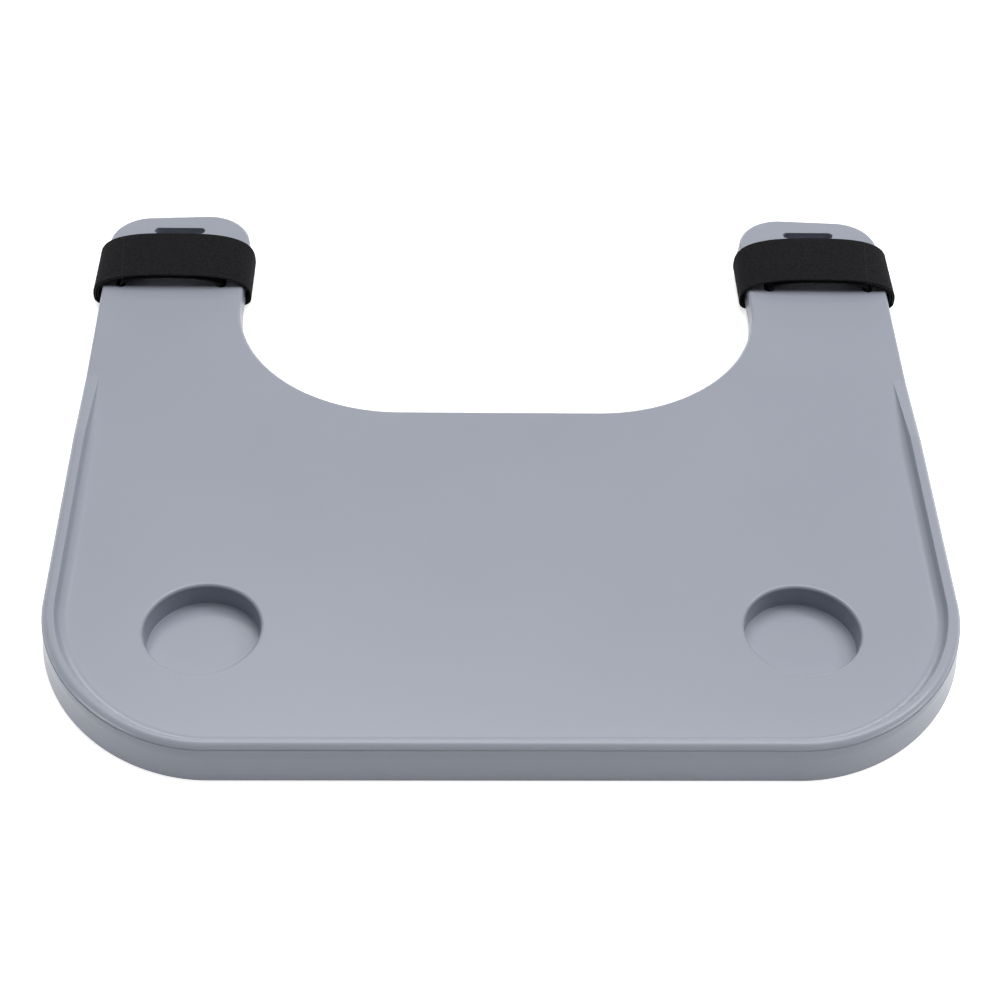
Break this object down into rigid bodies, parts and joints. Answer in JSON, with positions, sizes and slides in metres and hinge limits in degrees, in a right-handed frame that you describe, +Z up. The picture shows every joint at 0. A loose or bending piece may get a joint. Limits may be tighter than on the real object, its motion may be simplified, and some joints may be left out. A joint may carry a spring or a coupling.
{
  "type": "wheelchair tray table",
  "caption": "Moulded wheelchair lap tray with a raised rim, cup wells, a rounded body cut-out and slotted arms that carry hook-and-loop straps.",
  "frame": {"origin": "middle of the bounding box at its base: the plane the skirt stands on, half way between the front wall and the arm tips", "axes": "+X to the user's left arm side as seen from the front wall, +Y from the front wall towards the user and the arm tips, +Z up"},
  "size_m": [0.6728, 0.596, 0.0395],
  "materials": {
    "tray_plastic": "moulded blue-grey plastic with a fine satin grain",
    "strap_fleece": "black brushed loop fleece, matt",
    "hook_tape": "black moulded hook tape, dull"
  },
  "bodies": {
    "tray": {"tray_shell": "tray_plastic", "left_strap_band": "strap_fleece", "right_strap_band": "strap_fleece"},
    "left_flap": {"left_strap_flap": "strap_fleece", "left_hook_patch": "hook_tape"},
    "right_flap": {"right_strap_flap": "strap_fleece", "right_hook_patch": "hook_tape"}
  },
  "joints": [
    {"name": "left_strap_peel", "type": "hinge", "parent": "tray", "child": "left_flap", "pos_m": [-0.29291, 0.2211, 0.03643], "axis": [-0.0001, 0.9947, 0.1032], "range_deg": [0, 150]},
    {"name": "right_strap_peel", "type": "hinge", "parent": "tray", "child": "right_flap", "pos_m": [0.29291, 0.2211, 0.03643], "axis": [-0.0001, -0.9947, -0.1032], "range_deg": [0, 150]}
  ]
}
